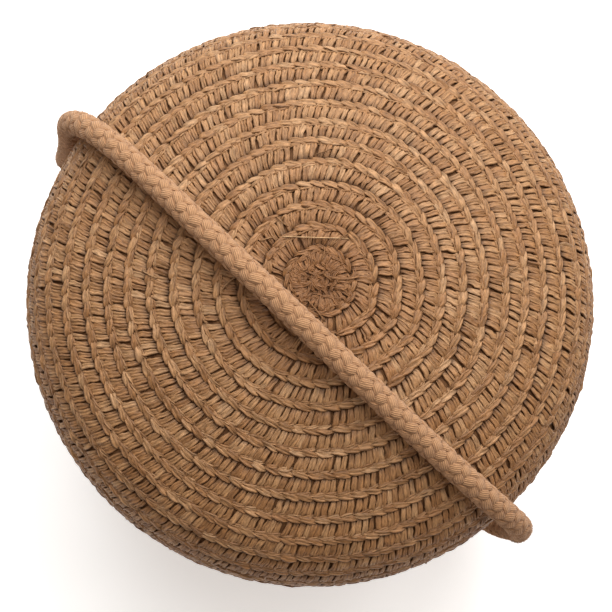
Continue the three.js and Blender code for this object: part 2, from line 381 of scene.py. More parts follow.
def cloth_material(name, dark, light, threads, twill=False):
    """Woven cotton, with its threads as crossing ridges and a slight unevenness of colour."""
    n = Nodes(name)
    along, across = n.value("along"), n.value("across")
    first = n.maths("SINE", n.times(along, threads))
    shift = n.times(along, threads) if twill else 0.0
    second = n.maths("SINE", n.maths("ADD", n.times(across, threads), shift))
    weave = n.maths("ADD", n.times(n.times(first, second), 0.5), 0.5)
    slub = n.noise(n.vector(n.times(along, 0.3), n.times(across, 2.0)), 1.5, 3.0)
    patches = n.noise(n.place(), 40.0, 3.0)
    cloth = n.ramp(slub, [(0.3, dark), (0.7, light)])
    shaded = n.mix(0.5, cloth, n.grey(weave, 0.8, 1.08), "MULTIPLY")
    worn = n.mix(0.35, shaded, n.grey(patches, 0.85, 1.1), "MULTIPLY")
    bumps = n.bump(weave, 0.5, 0.15 * MM)
    return n.finish(worn, n.grey(slub, 0.85, 0.95), bumps, specular_ior_level=0.2, sheen_weight=0.15)


def brass_material():
    """Antique brass: brown tarnish in its hollows, bright where it is worn."""
    n = Nodes("antique_brass")
    patches = n.noise(n.place(), 160.0, 5.0)
    fine = n.noise(n.place(), 1400.0, 3.0)
    colour = n.ramp(patches, [
        (0.3, (0.16, 0.095, 0.04)),
        (0.55, (0.36, 0.25, 0.115)),
        (0.8, (0.62, 0.46, 0.24)),
    ])
    return n.finish(colour, n.grey(patches, 0.5, 0.26), n.bump(fine, 0.12, 0.05 * MM), metallic=1.0)


def thread_material():
    n = Nodes("waxed_thread")
    along, across = n.value("along"), n.value("across")
    ply = n.wave(n.times(along, 9.0), n.times(across, 6.0))
    colour = n.ramp(ply, [(0.1, (0.48, 0.36, 0.22)), (0.8, (0.78, 0.66, 0.47))])
    return n.finish(colour, n.grey(ply, 0.6, 0.45), n.bump(ply, 0.5, 0.1 * MM), specular_ior_level=0.4)


def floor_material():
    n = Nodes("pale_floor")
    speck = n.noise(n.place(), 30.0, 3.0)
    n.shader.inputs["Emission Color"].default_value = (1, 1, 1, 1)
    return n.finish(n.grey(speck, 0.9, 0.93, (0.3, 0.7)), 0.8, emission_strength=0.5)


# ---- The straw shell

PITCH = 7.66 * MM
STITCH_WIDTH = 4.6 * MM
LOOSE_ROUND = 4.6 * MM
FIRST_ROUND = 12.0 * MM
WALL_ROUNDS = 19
SETTLE = -0.8 * MM
YARN_THICKNESS = 0.85 * MM
# How far from the axis the painted shade over the middle of the base reaches.
SHADED_MIDDLE_RADIUS = 38 * MM
# How far from the middle of the base the yarns' tan is lowered as painted shade.
SHADED_YARN_RADIUS = 34 * MM
EYELET_CLEARING = 8.4 * MM
BACKING_TOP, BACKING_FOOT = 1.45 * MM, 2.9 * MM
HEM_BACKING = np.array([(97.6, 1), (99.8, 1), (99.8, 5.4), (97.6, 5.4)]) * MM


def shell_place(run, around, height):
    """The point at a distance run from the centre of the base, an angle and a height off the surface."""
    run = np.asarray(run)
    dome = np.minimum(run, DOME_LENGTH) / DOME_RADIUS
    turn = np.clip(run - DOME_LENGTH, 0, SHOULDER_LENGTH) / SHOULDER_RADIUS
    tilt = dome + turn
    down = np.maximum(run - BASE_LENGTH, 0)
    on_dome = run <= DOME_LENGTH
    shoulder = SHOULDER_CENTRE + SHOULDER_RADIUS * np.sin(tilt)
    radius = np.where(on_dome, DOME_RADIUS * np.sin(dome), shoulder)
    level = np.where(
        on_dome,
        BAG_HEIGHT - DOME_RADIUS * (1 - np.cos(dome)),
        SHOULDER_Z + SHOULDER_RADIUS * np.cos(tilt) - down,
    )
    out, rise = np.sin(tilt), np.cos(tilt)
    return polar(radius + height * out, around, level + height * rise), polar(out, around, rise)


def shell_radius(run):
    return float(np.linalg.norm(shell_place(run, 0.0, 0.0)[0][:2]))


# The yarns of one stitch, as control points (around, out, height, width): around in stitches, out in
# rounds from the round's inner edge, height and width in millimetres. The two posts stand side by
# side, narrow at their feet and leaning; the chain that closes the round has an outer and an inner leg.
LEFT_POST = [
    (0.03, -0.12, -1.1, 1.4), (-0.01, 0.01, -0.4, 1.8), (-0.10, 0.20, 0.05, 2.2),
    (-0.22, 0.42, 0.22, 2.4), (-0.31, 0.57, 0.16, 2.42), (-0.38, 0.68, -0.25, 2.2),
    (-0.41, 0.78, -0.9, 1.8),
]
RIGHT_POST = [
    (0.50, -0.12, -1.1, 1.4), (0.47, 0.01, -0.45, 1.75), (0.38, 0.20, 0.0, 2.15),
    (0.27, 0.42, 0.18, 2.35), (0.19, 0.57, 0.12, 2.4), (0.12, 0.68, -0.3, 2.2), (0.09, 0.78, -0.9, 1.8),
]
OUTER_LEG = [
    (-0.74, 0.743, -0.6, 1.45), (-0.45, 0.773, 0.06, 2.2), (0.0, 0.825, 0.34, 2.65),
    (0.40, 0.883, 0.30, 2.45), (0.74, 0.938, -0.32, 1.45),
]
INNER_LEG = [
    (-0.70, 0.748, -0.55, 0.9), (-0.39, 0.715, 0.04, 1.4), (0.0, 0.685, 0.24, 1.65),
    (0.37, 0.653, 0.12, 1.45), (0.70, 0.62, -0.55, 0.8),
]
YARNS = (LEFT_POST, RIGHT_POST, OUTER_LEG, INNER_LEG)
JITTER = np.array([0.03, 0.014, 0.09, 0.11])


def unevenness(start, around):
    """How far a round strays outwards, most of all where the rounds join."""
    join = np.exp(-((np.angle(np.exp(1j * (around - 0.26)))) / 0.16) ** 2)
    wave = np.sin(2 * around + 40 * start / MM) + 0.7 * np.sin(5 * around + 17 * start / MM)
    return (1.1 * join + 0.22 * wave) * MM


def stitch_yarns(start, pitch, count, loose, samples):
    """Centre lines, heights and widths of the yarns of one round, on the shell's surface."""
    step = 2 * np.pi / count
    middle = RNG.uniform(0, step) + step * np.arange(count) + RNG.normal(0, 0.06 * loose * step, count)
    parts = []
    for yarn in YARNS:
        control = np.repeat(np.array(yarn)[None], count, axis=0)
        control = control + RNG.normal(0, 1, control.shape) * JITTER * loose
        fine = np.einsum("mc,ncd->nmd", curve_weights(len(yarn), samples), control)
        around = middle[:, None] + fine[..., 0] * step
        run = start + fine[..., 1] * pitch + unevenness(start, around)
        width = fine[..., 3] * (step * shell_radius(start + 0.6 * pitch) / STITCH_WIDTH)
        parts.append((run, around, fine[..., 2], width))
    run, around, height, width = (np.concatenate(each) for each in zip(*parts))
    width = width * (1 + RNG.normal(0, 0.08, (len(width), 1)) * loose + RNG.normal(0, 0.04, width.shape))
    return run, around, height * MM + SETTLE, np.maximum(width, 0.5) * MM


def crease(sides):
    """The section of flat yarn that has a lengthwise crease along its top."""
    across = [1.0, 0.75, 0.32, 0.04, -0.3, -0.76, -1.0, -0.5, 0.5]
    above = [0.0, 0.85, 1.0, 0.1, 0.92, 0.8, 0.0, -0.8, -0.8]
    if sides < 9:
        return tape_section(sides)
    return np.stack([across, above], axis=1)


def straw_piece(name, rounds, material, samples, sides):
    """One piece of crochet: a list of rounds, each (start, pitch, stitches, looseness)."""
    run, around, height, width = (
        np.concatenate(parts) for parts in zip(*[stitch_yarns(*each, samples) for each in rounds])
    )
    keep = eyelet_distance(run, around).min(axis=1) > EYELET_CLEARING
    return yarn_mesh(name, run[keep], around[keep], height[keep], width[keep], material, sides)


def yarn_mesh(name, run, around, height, width, material, sides, thickness=YARN_THICKNESS, palest=0.0):
    """A mesh of flat yarns that lie on the shell, each of its own tan from palest to 1."""
    count, samples = run.shape
    centre, normal = shell_place(run, around, height)
    t = np.linspace(0, 1, samples)[None, :, None]
    tilt = RNG.normal(0, 0.25, (count, 1, 3)) * (1 - t) + RNG.normal(0, 0.25, (count, 1, 3)) * t
    thick = np.full(width.shape, thickness) * RNG.uniform(0.85, 1.15, (count, 1))
    points, quads, values = swept(centre, unit(normal + tilt), width, thick, crease(sides))
    sections = len(points) // (count * samples)
    points = points + RNG.normal(0, 0.045 * MM, points.shape)
    # Painted shade: yarns get a darker tan the nearer they lie to the middle of the base.
    near_centre = np.clip(run.mean(axis=1) / SHADED_YARN_RADIUS, 0.15, 1) ** 0.5
    tone = palest + (1 - palest) * 0.96 * RNG.beta(1.6, 1.6, count) * near_centre
    values["tone"] = np.repeat(tone, samples * sections)
    # Depth for painted shade: 0 at the surface, 1 where a yarn has dived 0.62 mm below it.
    low = np.clip((SETTLE - height) / (0.62 * MM), 0, 1)
    values["depth"] = np.repeat(low.ravel(), sections)
    return mesh_piece(name, points, quads, material, values)


def eyelet_distance(run, around):
    """How far a point of the shell is from the line through the eyelets."""
    point = shell_place(run, around, 0.0)[0]
    return np.hypot(point[..., 1], point[..., 2] - EYELET_Z)


def stitches_at(run):
    return round(2 * math.pi * shell_radius(run) / STITCH_WIDTH)


def base_rounds():
    """The rounds of the base outside its tangled centre, and where the wall's first round starts."""
    rounds = [(LOOSE_ROUND, PITCH, 19, 1.5)]
    start = FIRST_ROUND
    while start < BASE_LENGTH - 2 * MM:
        loose = 1.0 + 0.9 * math.exp(-start / (22 * MM))
        rounds.append((start, PITCH, stitches_at(start + 0.84 * PITCH), loose))
        start += PITCH
    return rounds, start


def wall_rounds(start):
    """The rounds of the wall, from the shoulder down to the hem, all with the same number of stitches."""
    end = WALL_END + 0.5 * MM
    pitch = (end - start) / WALL_ROUNDS
    return [(start + i * pitch, pitch, stitches_at(start + 20 * MM), 1.0) for i in range(WALL_ROUNDS)]


def bent(x, y, heading, half, bend, t):
    """Lines that bend a little about the points x, y of the base, as distances and angles."""
    x = x + half * t * np.cos(heading + bend * t)
    y = y + half * t * np.sin(heading + bend * t)
    return np.hypot(x, y), np.arctan2(y, x)


def tangle(material):
    """The loops that the crochet starts from, which cross each other every way."""
    count = 200
    t = np.linspace(-1, 1, 9)[None]
    reach = 9.8 * np.sqrt(RNG.uniform(0.0, 1.0, (count, 1))) * MM
    reach[:30] *= 0.3
    bearing = RNG.uniform(0, 2 * np.pi, (count, 1))
    heading = bearing + RNG.choice([0.15, 0.5, 1.3, 1.57, 1.8], (count, 1))
    heading = heading + RNG.normal(0, 0.3, (count, 1))
    half = RNG.uniform(1.5, 3.9, (count, 1)) * MM
    bend = RNG.normal(0, 0.8, (count, 1))
    run, around = bent(reach * np.cos(bearing), reach * np.sin(bearing), heading, half, bend, t)
    top = RNG.uniform(-0.75, 0.5, (count, 1))
    height = (top - 1.8 * np.abs(t) ** 3) * MM + SETTLE
    width = RNG.uniform(0.7, 1.5, (count, 1)) * (1 - 0.3 * t**2) * MM
    return yarn_mesh("base_centre_tangle", run, around, height, width, material, 9)


def stray_fibres(material):
    """A few thin ends of straw that have worked loose, one of them long and straight."""
    count = 16
    t = np.linspace(-1, 1, 10)[None]
    x = RNG.normal(0, 30, (count, 1)) * MM
    y = RNG.normal(0, 30, (count, 1)) * MM
    heading = RNG.uniform(0, np.pi, (count, 1))
    half = RNG.uniform(2.0, 5.0, (count, 1)) * MM
    bend = RNG.normal(0, 0.25, (count, 1))
    x[0], y[0], heading[0], half[0], bend[0] = -11.0 * MM, 9.3 * MM, 0.73, 11.7 * MM, 0.02
    x[1], y[1], heading[1], half[1], bend[1] = 4.4 * MM, 5.1 * MM, 0.72, 7.5 * MM, 0.25
    run, around = bent(x, y, heading, half, bend, t)
    height = (1.3 - 1.3 * t**6) * MM + SETTLE + 0 * run
    width = RNG.uniform(0.3, 0.6, (count, 1)) * MM + 0 * run
    width[0] = 0.5 * MM
    height[1] -= 0.6 * MM
    width[1] = 1.0 * MM
    palest = np.full(count, 0.3)
    palest[0] = 1.0
    return yarn_mesh("stray_fibres", run, around, height, width, material, 6, 0.35 * MM, palest)


def hem_piece(material):
    """The last round: yarn wound over the edge of the mouth, flat underneath where the bag stands."""
    count, samples = 2 * stitches_at(BASE_LENGTH + 20 * MM), 9
    radius = np.array([99.6, 100.5, 100.6, 100.1, 98.9, 97.7, 97.35, 97.4, 97.5])
    level = np.array([6.6, 4.9, 2.6, 0.85, 0.5, 0.75, 2.2, 3.8, 5.2])
    step = 2 * np.pi / count
    t = np.linspace(0, 1, samples)
    around = step * (np.arange(count)[:, None] + 0.9 * t[None] + RNG.normal(0, 0.05, (count, 1)))
    reach = radius[None] + RNG.normal(0, 0.08, (count, 1)) + 0 * around
    rise = np.maximum(level[None] + RNG.normal(0, 0.06, (count, 1)), 0.48)
    centre = polar(reach, around, rise) * MM
    outward = np.array([1, 1, 0.9, 0.45, 0.05, -0.6, -1, -1, -1])
    downward = np.array([0, 0, -0.3, -0.85, -1, -0.7, -0.2, 0, 0])
    normal = unit(polar(outward, around, downward))
    width = RNG.uniform(2.1, 2.6, (count, 1)) * MM + 0 * around
    points, quads, values = swept(centre, normal, width, np.full(width.shape, 0.8 * MM), crease(9))
    points[:, 2] = np.maximum(points[:, 2], 0.02 * MM)
    values["tone"] = np.repeat(RNG.beta(2.2, 2.2, count), samples * 9)
    values["depth"] = np.zeros(len(points))
    return mesh_piece("hem_round", points, quads, material, values)


def shell_solid(name, low, high, steps, material):
    """A smooth shell of revolution between two distances from the centre, behind the stitches.
    The wall's has no holes for the eyelets, so the rope and the eyelets pass through it."""
    run = np.linspace(low, high, steps)
    outside = shell_place(run, 0.0, -BACKING_TOP)[0]
    inside = shell_place(run[::-1], 0.0, -BACKING_FOOT)[0]
    section = np.concatenate([outside, inside])[:, [0, 2]]
    return lathe(name, section[::-1], material, around=144)


def make_straw(straw, backing):
    """The rounds of base and wall, the hem, and the plain backing behind them all."""
    rounds, end = base_rounds()
    wall = wall_rounds(end)
    pieces = []
    for i, (first, last) in enumerate(((0, 6), (6, 9), (9, 11), (11, 13), (13, len(rounds)))):
        piece = straw_piece(f"base_rounds_{i + 1}", rounds[first:last], straw, 9, 9)
        pieces.append((piece, "straw_base"))
    pieces += [(tangle(straw), "straw_base"), (stray_fibres(straw), "straw_base")]
    for i in range(5):
        piece = straw_piece(f"wall_rounds_{i + 1}", wall[i * 4:(i + 1) * 4], straw, 7, 6)
        pieces.append((piece, "straw_wall"))
    pieces += [
        (shell_solid("base_reverse", 0.0, BASE_LENGTH, 40, backing), "straw_base"),
        (shell_solid("wall_reverse", BASE_LENGTH + 0.2 * MM, WALL_END, 24, backing), "straw_wall"),
        (lathe("hem_reverse", HEM_BACKING, backing, 144), "mouth_hem"),
        (hem_piece(straw), "mouth_hem"),
    ]
    dress([(piece, node, "straw") for piece, node in pieces], "bag")


# ---- The rope handle

# The rope's centre line, in millimetres: out through the left eyelet, up the wall, over the base and
# back through the right eyelet.
ROPE_ROUTE = [
    (-91.8, 0, 22), (-100.2, 0, 22), (-106.2, -0.2, 22.9), (-112, -1, 25.6), (-116.6, -2.7, 30),
    (-119.5, -5.1, 35.9), (-120.6, -8, 43), (-119.9, -11.2, 53.5), (-117.4, -14, 68),
    (-113.2, -15.8, 89), (-108.7, -15.8, 115), (-105.7, -15.1, 139), (-104.7, -14.5, 156),
    (-101.7, -14, 169.8), (-95.3, -13, 180), (-84.5, -12.6, 187.7), (-64, -13, 195.5),
    (-33, -14.3, 203.6), (0, -14.9, 206.8), (33, -15, 203.6), (64, -14.2, 195.5),
    (86, -12.8, 187.1), (96.8, -11.5, 179.5), (104.2, -10.1, 169.4), (107.6, -8.8, 156),
    (110.4, -6.8, 136), (113.9, -4.2, 112), (117.4, -1.3, 88), (120, 1.2, 66), (121, 2.4, 53),
    (120.7, 2.6, 43), (119.4, 2, 35.9), (116.5, 1.2, 30), (112, 0.4, 25.6), (106.2, 0, 22.9),
    (100.2, 0, 22), (91.8, 0, 22),
]
ROPE_DIAMETER = 9.0 * MM
BRAID_PAIRS = 6
BRAID_LAY = 41 * MM
BRAID_TURN = math.radians(-12.5)
BRAID_STEP = 1.45 * MM
BRAID_SIDES = 9
HAIRS_PER_MM = 7.5
WINDING_RADIUS = 5.1 * MM


def steps_of(line):
    """The distances between a line's neighbouring points."""
    return np.linalg.norm(np.diff(line, axis=0), axis=1)


def summed(steps):
    return np.concatenate([[0], np.cumsum(steps)])


def centripetal(points, per=16):
    """A centripetal Catmull-Rom curve through points, as three.js draws it."""
    points = np.vstack([2 * points[0] - points[1], points, 2 * points[-1] - points[-2]])
    out = []
    for i in range(1, len(points) - 2):
        p = points[i - 1:i + 3]
        knots = summed(steps_of(p) ** 0.5)
        for t in np.linspace(knots[1], knots[2], per, endpoint=False):
            level = p
            for spans in (((0, 1), (1, 2), (2, 3)), ((0, 2), (1, 3)), ((1, 2),)):
                level = [
                    ((knots[b] - t) * level[k] + (t - knots[a]) * level[k + 1]) / (knots[b] - knots[a])
                    for k, (a, b) in enumerate(spans)
                ]
            out.append(level[0])
    out.append(points[-2])
    return np.array(out)


def evenly(line, spacing):
    """The same line with points about spacing apart, and how far along it each of them is."""
    length = summed(steps_of(line))
    count = max(2, round(length[-1] / spacing) + 1)
    at = np.linspace(0, length[-1], count)
    return np.stack([np.interp(at, length, line[:, k]) for k in range(3)], axis=1), at


def frames_along(line):
    """A pair of untwisted directions square to a line, all along it."""
    tangent = unit(np.gradient(line, axis=0))
    u = [unit(np.cross(tangent[0], [0.0, 0.0, 1.0]))]
    for t in tangent[1:]:
        u.append(unit(u[-1] - t * (u[-1] @ t)))
    u = np.array(u)
    return u, np.cross(tangent, u)


def braided(name, line, diameter, material):
    """A round braid of twelve soft strands, six each way, each over one and under one, with its fuzz."""
    line, at = evenly(line, BRAID_STEP)
    u, v = frames_along(line)
    thick = 0.19 * diameter
    wave = 0.058 * diameter
    middle = diameter / 2 - wave - thick / 2
    strands, normals, widths, tones, depths = [], [], [], [], []
    for way in (1, -1):
        for i in range(BRAID_PAIRS):
            angle = 2 * np.pi * (way * at / BRAID_LAY + i / BRAID_PAIRS) + BRAID_TURN
            lift = way * np.cos(BRAID_PAIRS * (angle - BRAID_TURN))
            lift = np.sign(lift) * np.abs(lift) ** 0.55
            radius = middle + wave * lift
            out = u * np.cos(angle)[:, None] + v * np.sin(angle)[:, None]
            strands.append(line + out * radius[:, None])
            normals.append(out)
            widths.append(diameter * (0.395 + 0.035 * lift))
            # Depth for painted shade: a strand is darker where it passes under the others.
            depths.append(np.clip(0.22 - 0.75 * lift, 0, 1))
            tones.append(np.full(len(at), RNG.uniform()))
    thick = np.full((len(strands), len(at)), thick)
    strands, normals, widths = np.array(strands), np.array(normals), np.array(widths)
    strands = swept(strands, normals, widths, thick, tape_section(BRAID_SIDES))
    strands[2]["tone"] = np.repeat(np.array(tones).ravel(), BRAID_SIDES)
    strands[2]["depth"] = np.repeat(np.array(depths).ravel(), BRAID_SIDES)
    # The core between the strands gets full depth, so it is coloured dark as painted shade.
    core_width = np.full((1, len(at)), diameter * 0.58)
    core = swept(line[None], u[None], core_width, core_width, tape_section(8))
    core[2].update(tone=np.ones(len(core[0])), depth=np.ones(len(core[0])))
    return join_parts(name, [strands, core, rope_fuzz(line, u, v, diameter)], material), line


def rope_fuzz(line, u, v, diameter):
    """Short cotton hairs that stand a little off the rope."""
    count = int(float(steps_of(line).sum()) / MM * HAIRS_PER_MM)
    root = RNG.uniform(0.02, 0.98, count) * (len(line) - 1)
    index = root.astype(int)
    angle = RNG.uniform(0, 2 * np.pi, count)
    out = u[index] * np.cos(angle)[:, None] + v[index] * np.sin(angle)[:, None]
    ahead = unit(line[index + 1] - line[index])
    lean = ahead * RNG.normal(0, 1, (count, 1)) + np.cross(out, ahead) * RNG.normal(0, 1, (count, 1))
    lean = unit(lean)
    reach = RNG.uniform(0.5, 1.9, (count, 1)) * MM
    rise = RNG.uniform(0.1, 0.75, (count, 1)) * MM
    start = line[index] + out * diameter * 0.455
    steps = [start, start + lean * reach * 0.5 + out * rise * 0.8, start + lean * reach + out * rise]
    centre = np.stack(steps, axis=1)
    normal = np.repeat(out[:, None], 3, axis=1)
    width = np.full((count, 3), 0.09 * MM) * np.array([1.0, 0.8, 0.4])
    hair = swept(centre, normal, width, width, tape_section(4))
    hair[2].update(tone=np.full(len(hair[0]), 0.6), depth=np.zeros(len(hair[0])))
    return hair


def join_parts(name, parts, material):
    """One mesh from several (points, quads, values)."""
    shift = np.cumsum([0] + [len(points) for points, _, _ in parts])
    points = np.concatenate([part[0] for part in parts])
    quads = np.concatenate([part[1] + shift[i] for i, part in enumerate(parts)])
    values = {key: np.concatenate([part[2][key] for part in parts]) for key in parts[0][2]}
    return mesh_piece(name, points, quads, material, values)


def knot_line(side):
    """The rope inside a stopper knot: in along the eyelet's axis, round itself and out as a tail."""
    face, back = KNOT_HIGH[0], KNOT_LOW[0]
    along = face - 13 * MM
    route = [(face, 0, 0), (face - 8 * MM, 0, 0)]
    turns = np.linspace(0, 1.45 * 2 * np.pi, 13)
    for t in turns:
        reach = 7.2 * MM * min(1, 0.35 + t / 2.2)
        route.append((along + 5.2 * MM * math.cos(t * 0.5), reach * math.sin(t), reach * math.cos(t)))
    route += [(back + 16 * MM, 0, 1 * MM), (back + 8 * MM, 0, 0), (back + 0.4 * MM, 0, 0)]
    line = centripetal(np.array(route), 8)
    return line * [side, side, 1] + [0, 0, EYELET_Z]


def make_rope(cotton, thread):
    """The braided handle, with a whipped stopper knot at each end."""
    line = centripetal(np.array(ROPE_ROUTE) * MM)
    rope, path = braided("rope_braid", line, ROPE_DIAMETER, cotton)
    dressed = [(rope, "handle_rope", "rope")]
    for name, side in (("left", -1), ("right", 1)):
        knot, _ = braided(f"stopper_knot_{name}", knot_line(side), ROPE_DIAMETER * 0.95, cotton)
        wound = winding(f"whipping_thread_{name}", side, thread)
        dressed += [(knot, f"knot_{name}", "rope"), (wound, f"whipping_{name}", "thread")]
    dress(dressed, "handle")


def winding(name, side, material):
    """Thread wound close round the end of the tail."""
    low, high = corners_of("whipping_right")
    turns, thread = 9, 0.62 * MM
    t = np.linspace(0, 2 * np.pi * turns, turns * 20)
    x = low[0] + thread / 2 + (high[0] - low[0] - thread) * t / t[-1]
    radius = WINDING_RADIUS
    line = np.stack([side * x, side * radius * np.cos(t), EYELET_Z + radius * np.sin(t)], axis=1)
    out = unit(line * [0, 1, 1] - [0, 0, EYELET_Z])
    size = np.full((1, len(t)), thread)
    points, quads, values = swept(line[None], out[None], size, size, tape_section(8))
    return mesh_piece(name, points, quads, material, values)


# ---- Lining, pocket, tabs and the brass fittings

POCKET_ANGLE = math.asin(PANEL_HIGH[0] / 95.1 / MM)
POCKET_RADIUS = 94.7 * MM
LINING_DEPTH = 4.0 * MM
LINING_THICKNESS = 0.7 * MM
LINING_HOLE = 7.3 * MM
SEWN_STITCH, SEWN_GAP, SEWN_THREAD = 2.2 * MM, 0.9 * MM, 0.42 * MM


def cloth(name, middle, normal, thickness, flat, material, around=False):
    """A cloth of even thickness from a grid of points on its middle surface."""
    outer, inner = middle + normal * thickness / 2, middle - normal * thickness / 2
    return two_sided(name, outer, inner, flat, material, around)


def two_sided(name, outer, inner, flat, material, around=False, flip=False):
    """A cloth from the grids of points on its two faces. flat gives each point's place on the cut cloth,
    in metres, and around closes the grid into a ring."""
    n, m, _ = outer.shape
    index = np.arange(n * m).reshape(n, m)
    if around:
        index = np.vstack([index, index[:1]])
    edges = [index[:, 0], index[::-1, -1]]
    if not around:
        edges += [index[0, ::-1], index[-1]]
    a, b, c, d = index[:-1, :-1], index[1:, :-1], index[1:, 1:], index[:-1, 1:]
    face = np.stack([a, b, c, d], axis=-1).reshape(-1, 4)
    rim = [np.stack([e[1:], e[:-1], e[:-1] + n * m, e[1:] + n * m], axis=-1) for e in edges]
    quads = np.concatenate([face, face[:, ::-1] + n * m] + rim)
    points = np.concatenate([outer.reshape(-1, 3), inner.reshape(-1, 3)])
    values = {
        "along": np.tile(flat[..., 0].ravel() / MM, 2),
        "across": np.tile(flat[..., 1].ravel() / MM, 2),
    }
    return mesh_piece(name, points, quads[:, ::-1] if flip else quads, material, values)


def round_place(angle, radius, height):
    """Points and outward directions on a cylinder about the bag's axis."""
    radius = np.asarray(radius)
    out = np.stack([np.cos(angle), np.sin(angle), 0 * angle], axis=-1)
    return out * radius[..., None] + np.array([0, 0, 1.0]) * np.asarray(height)[..., None], out


def bump_at(x, centre, spread):
    return np.exp(-(((x - centre) / spread) ** 2))


def lining_pieces(material):
    """The lining's wall, softly creased where nothing presses on it, and its domed base."""
    turn = np.linspace(0, 2 * np.pi, 288, endpoint=False)
    angle, height = np.meshgrid(turn, np.linspace(3.2 * MM, 149.6 * MM, 60), indexing="ij")
    by_eyelet = bump_at(np.angle(np.exp(2j * angle)) / 2, 0, 0.30) * bump_at(height, EYELET_Z, 32 * MM)
    free = 1 - np.clip(by_eyelet, 0, 1)
    free = free * np.clip((height - 8 * MM) / (30 * MM), 0, 1)
    free = free * np.clip((149 * MM - height) / (20 * MM), 0, 1)
    behind_pocket = np.abs(np.angle(np.exp(1j * (angle + np.pi / 2)))) < 0.72
    free = free * np.where(behind_pocket, 0.12, 1.0)
    folds = np.zeros_like(angle)
    for _ in range(26):
        place, lean = RNG.uniform(0, 2 * np.pi), RNG.normal(0, 0.8)
        wide, deep = RNG.uniform(0.02, 0.06), RNG.uniform(0.4, 1.3) * MM
        turn = np.angle(np.exp(1j * (angle - place - lean * (height - 0.08))))
        folds = folds + deep * bump_at(turn, 0, wide) * bump_at(height, RNG.uniform(0.03, 0.13), 0.035)
    inward = np.minimum(folds, 2.2 * MM) * free
    middle, out = round_place(angle, BAG_RADIUS - LINING_DEPTH - inward, height)
    tilted = unit(np.cross(np.gradient(middle, axis=1), np.gradient(middle, axis=0)))
    tilted = tilted * np.sign((tilted * out).sum(axis=-1, keepdims=True))
    flat = np.stack([angle * (BAG_RADIUS - LINING_DEPTH), height], axis=-1)
    hole = eyelet_hole(middle)
    wall = cloth("lining_wall_cloth", middle, tilted, LINING_THICKNESS, flat, material, around=True)
    drop_faces(wall, hole)

    side = np.linspace(-1, 1, 72)
    x, y = np.meshgrid(side, side, indexing="ij")
    reach = BASE_LENGTH + SHOULDER_Z - CAP_FOOT
    u, v = x * np.sqrt(1 - y**2 / 2), y * np.sqrt(1 - x**2 / 2)
    run, around = np.hypot(u, v) * reach, np.arctan2(v, u)
    sag = 0.35 * MM * np.sin(run / (9 * MM) + 3 * np.sin(2 * around)) * np.clip(1 - run / reach, 0, 1)
    middle, normal = shell_place(run, around, -LINING_DEPTH - 0.1 * MM - np.abs(sag))
    flat = np.stack([u, v], axis=-1) * reach
    base = cloth("lining_base_cloth", middle, normal, LINING_THICKNESS, flat, material)
    return wall, base


def eyelet_hole(points):
    """Whether a point of the lining lies in one of the two holes cut for the eyelets."""
    return np.hypot(points[..., 1], points[..., 2] - EYELET_Z) < LINING_HOLE


def drop_faces(piece, hole):
    """Removes the faces of a cloth round which every point lies in a hole, on both of its sides."""
    mesh = piece.data
    inside = np.tile(hole.ravel(), 2)
    corners = np.zeros(len(mesh.polygons) * 4, np.int32)
    mesh.polygons.foreach_get("vertices", corners)
    drop = inside[corners.reshape(-1, 4)].all(axis=1)
    edit = bmesh.new()
    edit.from_mesh(mesh)
    edit.faces.ensure_lookup_table()
    bmesh.ops.delete(edit, geom=[edit.faces[i] for i in np.flatnonzero(drop)], context="FACES")
    edit.to_mesh(mesh)
    edit.free()


def binding_tape(material):
    """Twill tape folded over the lining's raw edge, inside the mouth."""
    outer, inner = BINDING_HIGH[0] - 0.35 * MM, BINDING_HIGH[0] - 1.65 * MM
    low, high = BINDING_LOW[2] + 0.35 * MM, BINDING_HIGH[2] - 0.1 * MM
    turn = np.linspace(0, np.pi, 7)
    half = (outer - inner) / 2
    radius = np.concatenate([[outer] * 4, (outer + inner) / 2 + half * np.cos(turn), [inner] * 4])
    height = np.concatenate([
        np.linspace(high, low + 1.4 * half, 4),
        low + half - half * np.sin(turn),
        np.linspace(low + 1.4 * half, high, 4),
    ])
    angle = np.linspace(0, 2 * np.pi, 240, endpoint=False)[:, None] + 0 * radius[None]
    wave = 0.12 * MM * np.sin(angle * 46) * (radius[None] < (outer + inner) / 2)
    middle, _ = round_place(angle, radius[None] + wave, height[None] + 0 * angle)
    normal = unit(np.cross(np.gradient(middle, axis=0), np.gradient(middle, axis=1)))
    length = summed(np.hypot(np.diff(radius), np.diff(height)))
    flat = np.stack([angle * inner, length[None] + 0 * angle], axis=-1)
    tape = cloth("binding_tape", middle, normal, 0.5 * MM, flat, material, around=True)
    return tape, float(length[-1])


def stitch_row(line, out):
    """A row of machine stitches along a line: short lengths of thread that dip in at both ends."""
    line, at = evenly(line, 0.3 * MM)
    every = SEWN_STITCH + SEWN_GAP
    count = int(at[-1] / every)
    t = np.linspace(0, 1, 7)
    start = (np.arange(count) + 0.5 * (at[-1] / every - count)) * every
    where = start[:, None] + t[None] * SEWN_STITCH
    centre = np.stack([np.interp(where, at, line[:, k]) for k in range(3)], axis=-1)
    facing = out(centre)
    rise = SEWN_THREAD * (0.35 - 1.1 * np.abs(2 * t - 1) ** 3)
    size = np.full(centre.shape[:2], SEWN_THREAD)
    return swept(centre + facing * rise[None, :, None], facing, size, size, tape_section(6))


def sewn(name, lines, out, thread):
    """The stitches along some lines, as one piece."""
    return join_parts(name, [stitch_row(line, out) for line in lines], thread)


def towards_axis(points):
    return -unit(points * [1, 1, 0])


def towards_middle(points):
    """The direction from a tab into the bag."""
    return np.stack([0 * points[..., 0], -np.sign(points[..., 1]), 0 * points[..., 0]], axis=-1)


def arc(radius, low, high, height, count=200):
    angle = np.linspace(low, high, count)
    return round_place(angle, np.full(count, radius), np.full(count, height))[0]


def mouth_belly(u):
    """How far the pocket's open edge bellies inwards, with u from 0 to 1 along it."""
    return 3.2 * MM * np.sin(np.pi * u) ** 0.8 + 0.5 * MM * np.sin(9 * u) * np.sin(np.pi * u)


